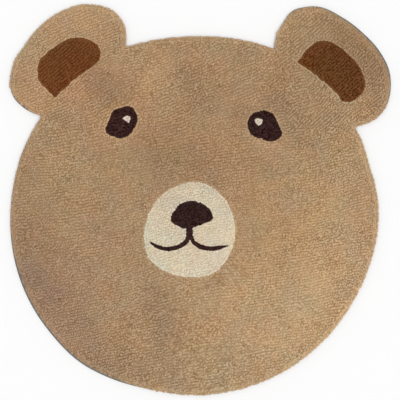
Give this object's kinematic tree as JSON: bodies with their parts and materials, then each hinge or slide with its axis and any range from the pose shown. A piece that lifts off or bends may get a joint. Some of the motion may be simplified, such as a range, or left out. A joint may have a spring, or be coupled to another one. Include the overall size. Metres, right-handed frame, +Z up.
{
  "type": "bear shaped kids rug",
  "caption": "Child's floor rug shaped like a bear's face: a flat mat of short cut pile with round ears, and eyes, muzzle, nose and mouth in other yarns.",
  "frame": {"origin": "middle of the rug's box in X and Y, on the flat underside", "axes": "+Z up out of the pile, +Y towards the top of the head, +X to the right as it is looked down on"},
  "size_m": [1.0724, 1.0992, 0.0153],
  "materials": {
    "pile": "matt short cut pile in tan yarn, with areas in brown, cream and near-black yarn"
  },
  "bodies": {
    "root": {"bear_rug": "pile"}
  },
  "joints": []
}
